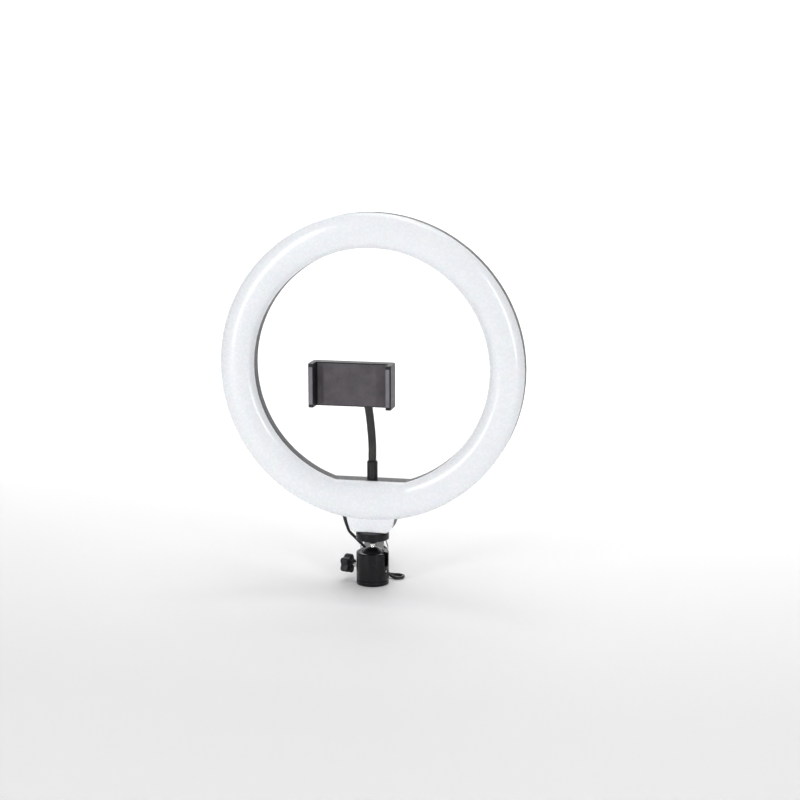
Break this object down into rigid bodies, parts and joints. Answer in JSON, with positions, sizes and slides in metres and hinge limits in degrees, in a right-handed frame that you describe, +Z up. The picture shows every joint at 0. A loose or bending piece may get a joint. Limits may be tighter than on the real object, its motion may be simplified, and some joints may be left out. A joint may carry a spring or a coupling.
{
  "type": "ring light",
  "caption": "Slim studio ring light with a domed milky diffuser, on a small lockable ball head, with a gooseneck phone clamp in the hole and a USB lead with an inline controller.",
  "frame": {"origin": "centre of the ball head's flat underside, on the axis of its threaded socket", "axes": "+Z up through the ball head and the middle of the ring; -Y is the way the light faces; +X is the right of someone who faces the light, seen from the front"},
  "size_m": [0.2994, 0.2112, 0.3657],
  "materials": {
    "milky_diffuser": "satin milky white, translucent",
    "black_plastic": "fine matte moulding",
    "black_anodised": "gloss black",
    "bright_steel": "polished",
    "brass": "turned",
    "grey_rubber": "matte",
    "black_pvc": "satin cable jacket",
    "circuit_board": "white solder mask"
  },
  "bodies": {
    "ball_head": {"ball_housing": "black_anodised", "base_bush": "brass", "ball_seat": "grey_rubber", "set_screw": "bright_steel", "lead_lower": "black_pvc", "lead_hank": "black_pvc", "usb_tail": "black_pvc", "controller_top": "black_plastic", "controller_bottom": "black_plastic", "controller_board": "circuit_board", "usb_plug_body": "black_plastic", "usb_plug_shell": "bright_steel"},
    "knob_screw": {"knob_stud": "bright_steel", "pressure_pad": "brass"},
    "knob": {"lock_knob": "black_plastic"},
    "ball": {"ball_stem": "black_anodised"},
    "disc": {"lock_disc": "black_anodised"},
    "light_head": {"diffuser": "milky_diffuser", "back_shell": "black_plastic", "led_board": "circuit_board", "driver_board": "circuit_board", "neck_nut": "brass", "phone_mount_nut": "brass", "strain_relief": "black_pvc", "lead_upper": "black_pvc", "disc_pad": "grey_rubber", "gooseneck_ferrule": "black_plastic", "gooseneck_lower": "black_plastic", "shell_screw_1": "bright_steel", "shell_screw_2": "bright_steel", "shell_screw_3": "bright_steel", "shell_screw_4": "bright_steel", "shell_screw_5": "bright_steel", "shell_screw_6": "bright_steel"},
    "neck_top": {"gooseneck_upper": "black_plastic", "top_ferrule": "black_plastic", "joint_ball": "black_plastic"},
    "socket": {"clamp_socket": "black_plastic"},
    "clamp": {"clamp_body": "black_plastic", "plate_pad": "grey_rubber", "left_pad": "grey_rubber", "clamp_spring": "bright_steel"},
    "jaw": {"slider_jaw": "black_plastic", "guide_rod_1": "bright_steel", "guide_rod_2": "bright_steel", "right_pad": "grey_rubber"},
    "power_key": {"power_button": "grey_rubber"},
    "colour_key": {"colour_button": "grey_rubber"},
    "brighter_key": {"brighter_button": "grey_rubber"},
    "dimmer_key": {"dimmer_button": "grey_rubber"}
  },
  "joints": [
    {"name": "ball_tilt", "type": "hinge", "parent": "ball_head", "child": "ball", "pos_m": [0, 0, 0.0255], "axis": [1, 0, 0], "range_deg": [-30, 30], "deforming": ["lead_lower"]},
    {"name": "disc_turn", "type": "hinge", "parent": "ball", "child": "disc", "pos_m": [0, 0, 0.049], "axis": [0, 0, 1], "range_deg": [-90, 90]},
    {"name": "head_turn", "type": "hinge", "parent": "ball", "child": "light_head", "pos_m": [0, 0, 0.054], "axis": [0, 0, 1], "range_deg": [-90, 90], "deforming": ["lead_upper"]},
    {"name": "knob_advance", "type": "slide", "parent": "ball_head", "child": "knob_screw", "axis": [-0.9511, 0.309, 0], "range_m": [0, 0.0016]},
    {"name": "knob_turn", "type": "hinge", "parent": "knob_screw", "child": "knob", "pos_m": [0, 0, 0.0157], "axis": [-0.9511, 0.309, 0], "range_deg": [0, 720]},
    {"name": "gooseneck_bend", "type": "hinge", "parent": "light_head", "child": "neck_top", "pos_m": [0, -0.0002, 0.14], "axis": [1, 0, 0], "range_deg": [-25, 25], "deforming": ["gooseneck_lower", "gooseneck_upper"]},
    {"name": "clamp_tilt", "type": "hinge", "parent": "neck_top", "child": "socket", "pos_m": [-0.0095, -0.0175, 0.203], "axis": [1, 0, 0], "range_deg": [-20, 20]},
    {"name": "clamp_turn", "type": "hinge", "parent": "socket", "child": "clamp", "pos_m": [-0.0095, -0.0175, 0.203], "axis": [0, -1, 0], "range_deg": [-90, 90]},
    {"name": "jaw_slide", "type": "slide", "parent": "clamp", "child": "jaw", "axis": [1, 0, 0], "range_m": [0, 0.02], "stiffness_N_per_m": 100, "springref_m": -0.03, "deforming": ["clamp_spring"]},
    {"name": "power_press", "type": "slide", "parent": "ball_head", "child": "power_key", "axis": [0, 0, -1], "range_m": [0, 0.0006], "stiffness_N_per_m": 300},
    {"name": "colour_press", "type": "slide", "parent": "ball_head", "child": "colour_key", "axis": [0, 0, -1], "range_m": [0, 0.0006], "stiffness_N_per_m": 300},
    {"name": "brighter_press", "type": "slide", "parent": "ball_head", "child": "brighter_key", "axis": [0, 0, -1], "range_m": [0, 0.0006], "stiffness_N_per_m": 300},
    {"name": "dimmer_press", "type": "slide", "parent": "ball_head", "child": "dimmer_key", "axis": [0, 0, -1], "range_m": [0, 0.0006], "stiffness_N_per_m": 300}
  ],
  "couplings": [
    {"joint": "knob_advance", "follows": "knob_turn", "m_per_rad": 0.00012732}
  ]
}
